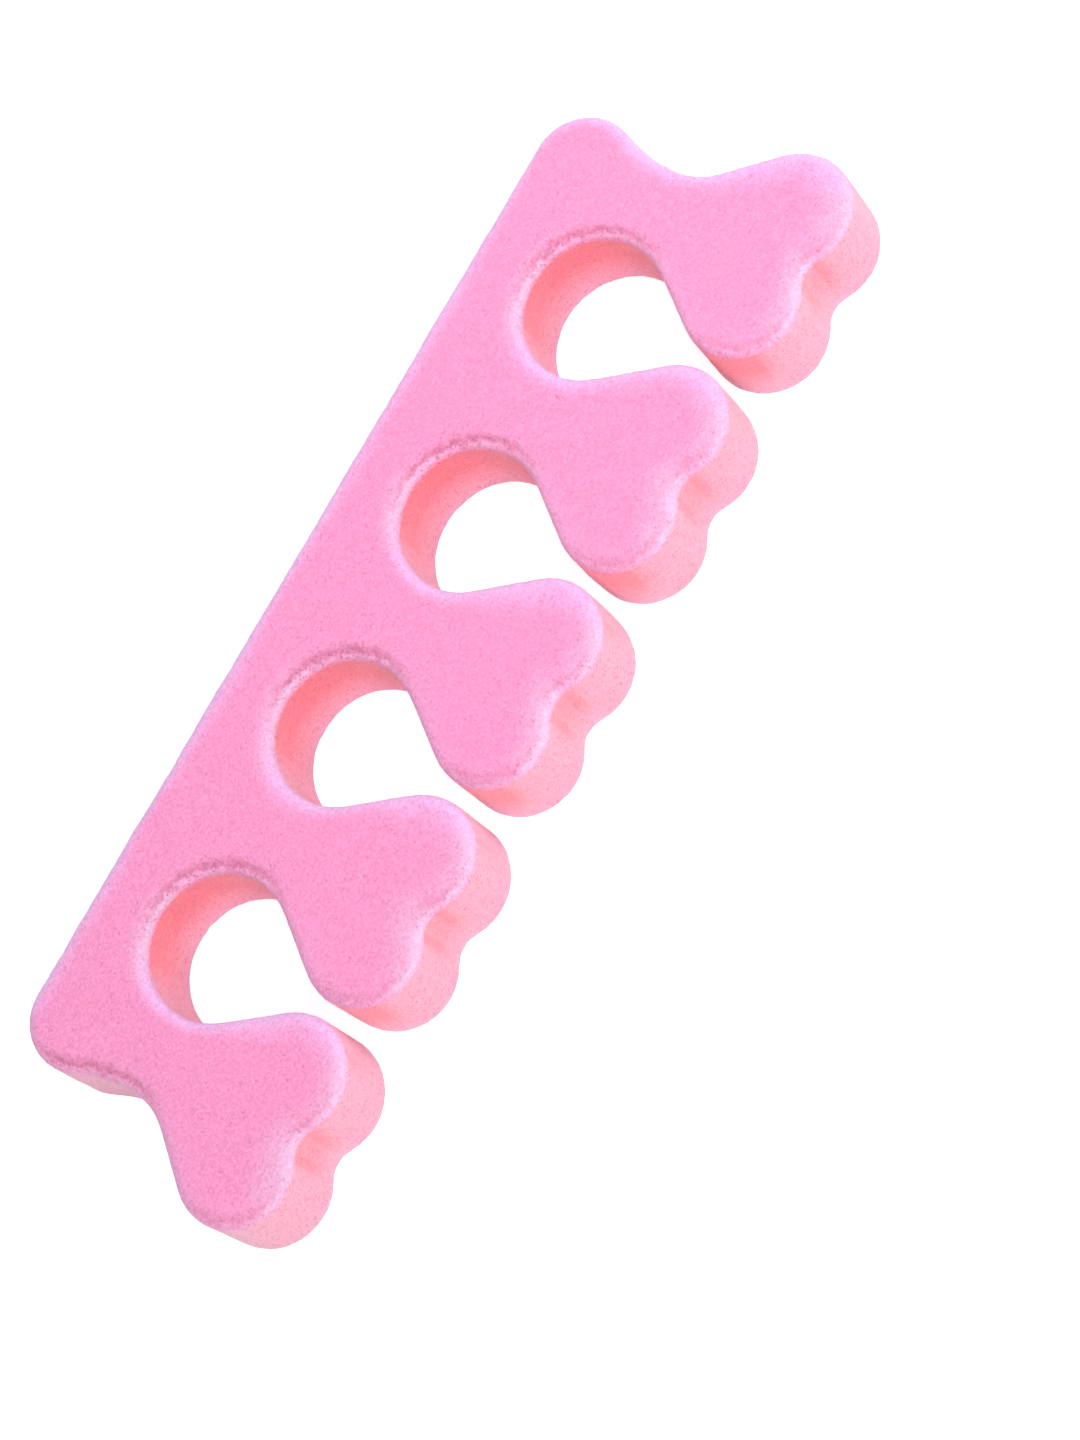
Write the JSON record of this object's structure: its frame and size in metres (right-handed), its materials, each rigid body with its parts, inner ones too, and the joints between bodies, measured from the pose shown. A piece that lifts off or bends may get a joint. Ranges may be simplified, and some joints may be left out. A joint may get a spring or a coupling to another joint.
{
  "type": "toe separator",
  "caption": "Flat foam toe separator: a straight spine with a row of bulb-ended fingers and round toe openings between them.",
  "frame": {"origin": "centre of the piece's bounding rectangle, on the underside that it lies on", "axes": "+X along the spine, -Y the way the fingers point, +Z through the foam's thickness"},
  "size_m": [0.096, 0.028, 0.009],
  "materials": {
    "foam": "matte pink closed-cell foam, fine grained skin"
  },
  "bodies": {
    "root": {"foam_body": "foam"}
  },
  "joints": []
}
